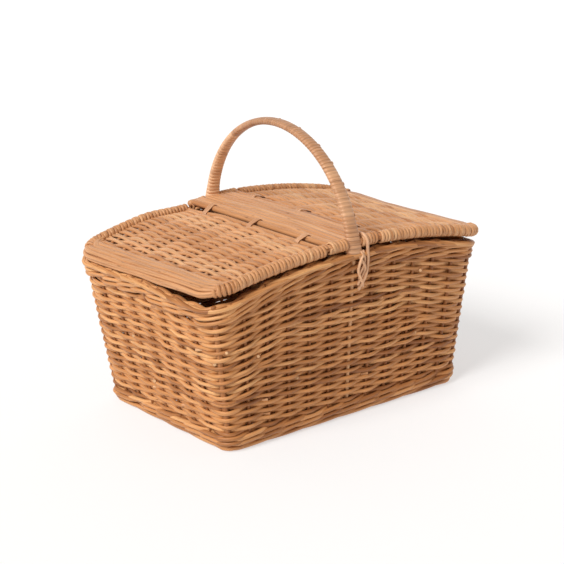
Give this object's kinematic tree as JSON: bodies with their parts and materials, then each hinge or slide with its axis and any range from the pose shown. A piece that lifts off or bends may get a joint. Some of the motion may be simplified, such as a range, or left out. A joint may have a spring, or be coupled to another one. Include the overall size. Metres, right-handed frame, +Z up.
{
  "type": "picnic basket",
  "caption": "Rectangular woven willow picnic basket with flared walls, a fixed bow handle and two lids hinged on a central bridge.",
  "frame": {"origin": "on the floor, under the middle of the basket", "axes": "+Z up, +X along the basket's length towards the right lid, -Y the front long wall"},
  "size_m": [0.4762, 0.3336, 0.3946],
  "materials": {
    "woven_willow": "woven buff willow rods, satin",
    "willow_rod": "whole willow rods, satin",
    "split_willow_wrap": "split willow skein, smooth with a soft sheen"
  },
  "bodies": {
    "basket": {"foot_border": "willow_rod", "floor_sticks": "willow_rod", "floor_weave": "woven_willow", "bottom_wale": "woven_willow", "front_wall_weave": "woven_willow", "back_wall_weave": "woven_willow", "left_wall_weave": "woven_willow", "right_wall_weave": "woven_willow", "top_wale": "woven_willow", "rim_border": "woven_willow", "front_stakes": "willow_rod", "back_stakes": "willow_rod", "left_stakes": "willow_rod", "right_stakes": "willow_rod", "corner_posts": "willow_rod", "handle_bow": "willow_rod", "handle_wrap": "split_willow_wrap", "handle_pegs": "willow_rod", "front_handle_lashing": "split_willow_wrap", "back_handle_lashing": "split_willow_wrap", "bridge_front_rod": "willow_rod", "bridge_front_wrap": "split_willow_wrap", "bridge_back_rod": "willow_rod", "bridge_back_wrap": "split_willow_wrap", "left_hinge_rod": "willow_rod", "right_hinge_rod": "willow_rod", "bridge_long_rods": "willow_rod", "bridge_cross_rods": "willow_rod"},
    "left_lid": {"left_lid_hoop": "willow_rod", "left_lid_front_border": "split_willow_wrap", "left_lid_back_border": "split_willow_wrap", "left_lid_end_border": "willow_rod", "left_lid_inner_rod": "willow_rod", "left_lid_ribs": "willow_rod", "left_lid_weave": "woven_willow", "left_lid_hinge_loops": "split_willow_wrap"},
    "right_lid": {"right_lid_hoop": "willow_rod", "right_lid_front_border": "split_willow_wrap", "right_lid_back_border": "split_willow_wrap", "right_lid_end_border": "willow_rod", "right_lid_inner_rod": "willow_rod", "right_lid_ribs": "willow_rod", "right_lid_weave": "woven_willow", "right_lid_hinge_loops": "split_willow_wrap"}
  },
  "joints": [
    {"name": "left_lid_hinge", "type": "hinge", "parent": "basket", "child": "left_lid", "pos_m": [-0.037, 0, 0.253], "axis": [0, 1, 0], "range_deg": [0, 105]},
    {"name": "right_lid_hinge", "type": "hinge", "parent": "basket", "child": "right_lid", "pos_m": [0.037, 0, 0.253], "axis": [0, -1, 0], "range_deg": [0, 105]}
  ]
}
